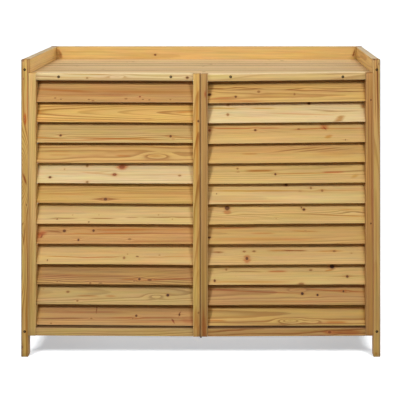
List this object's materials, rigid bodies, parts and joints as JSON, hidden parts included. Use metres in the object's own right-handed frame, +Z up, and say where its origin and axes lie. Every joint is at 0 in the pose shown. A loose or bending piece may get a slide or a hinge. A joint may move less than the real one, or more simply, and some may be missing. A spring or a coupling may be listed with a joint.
{
  "type": "air conditioner cover",
  "caption": "Free-standing slatted timber cover for an outdoor air conditioning unit, with louvred front and sides, a boarded deck with a raised rim, and an open back.",
  "frame": {"origin": "centre of the footprint, on the ground under the feet", "axes": "+Z up, +X to the right as seen from the louvred front, -Y out of the front, so the open back faces +Y"},
  "size_m": [1.1, 0.45, 0.91],
  "materials": {
    "straw_wood": "planed, unfinished, pale",
    "honey_wood": "planed, unfinished, honey coloured",
    "gold_wood": "planed, unfinished, golden",
    "russet_wood": "planed, unfinished, reddish heartwood",
    "dark_steel": "dull dark steel"
  },
  "bodies": {
    "root": {"front_left_post": "gold_wood", "front_right_post": "gold_wood", "back_left_post": "gold_wood", "back_right_post": "gold_wood", "left_outer_stile": "honey_wood", "left_inner_stile": "honey_wood", "left_top_rail": "straw_wood", "left_bottom_rail": "honey_wood", "left_louvre_01": "russet_wood", "left_louvre_02": "gold_wood", "left_louvre_03": "honey_wood", "left_louvre_04": "gold_wood", "left_louvre_05": "straw_wood", "left_louvre_06": "gold_wood", "left_louvre_07": "straw_wood", "left_louvre_08": "russet_wood", "left_louvre_09": "honey_wood", "left_louvre_10": "russet_wood", "left_louvre_11": "honey_wood", "left_louvre_12": "russet_wood", "right_outer_stile": "russet_wood", "right_inner_stile": "russet_wood", "right_top_rail": "straw_wood", "right_bottom_rail": "russet_wood", "right_louvre_01": "gold_wood", "right_louvre_02": "straw_wood", "right_louvre_03": "honey_wood", "right_louvre_04": "gold_wood", "right_louvre_05": "straw_wood", "right_louvre_06": "honey_wood", "right_louvre_07": "straw_wood", "right_louvre_08": "gold_wood", "right_louvre_09": "honey_wood", "right_louvre_10": "straw_wood", "right_louvre_11": "russet_wood", "right_louvre_12": "gold_wood", "left_side_rim": "gold_wood", "right_side_rim": "gold_wood", "back_rim": "gold_wood", "back_top_rail": "honey_wood", "left_side_front_stile": "honey_wood", "left_side_back_stile": "honey_wood", "right_side_front_stile": "honey_wood", "right_side_back_stile": "honey_wood", "left_side_rails": "honey_wood", "right_side_rails": "honey_wood", "left_side_louvres": "gold_wood", "right_side_louvres": "gold_wood", "deck_board_1": "honey_wood", "deck_board_2": "honey_wood", "deck_board_3": "honey_wood", "deck_board_4": "honey_wood", "deck_board_5": "honey_wood", "deck_board_6": "honey_wood", "middle_bearer": "honey_wood", "side_bearers": "honey_wood", "long_screws": "dark_steel", "short_screws": "dark_steel", "joint_clip": "dark_steel"}
  },
  "joints": []
}
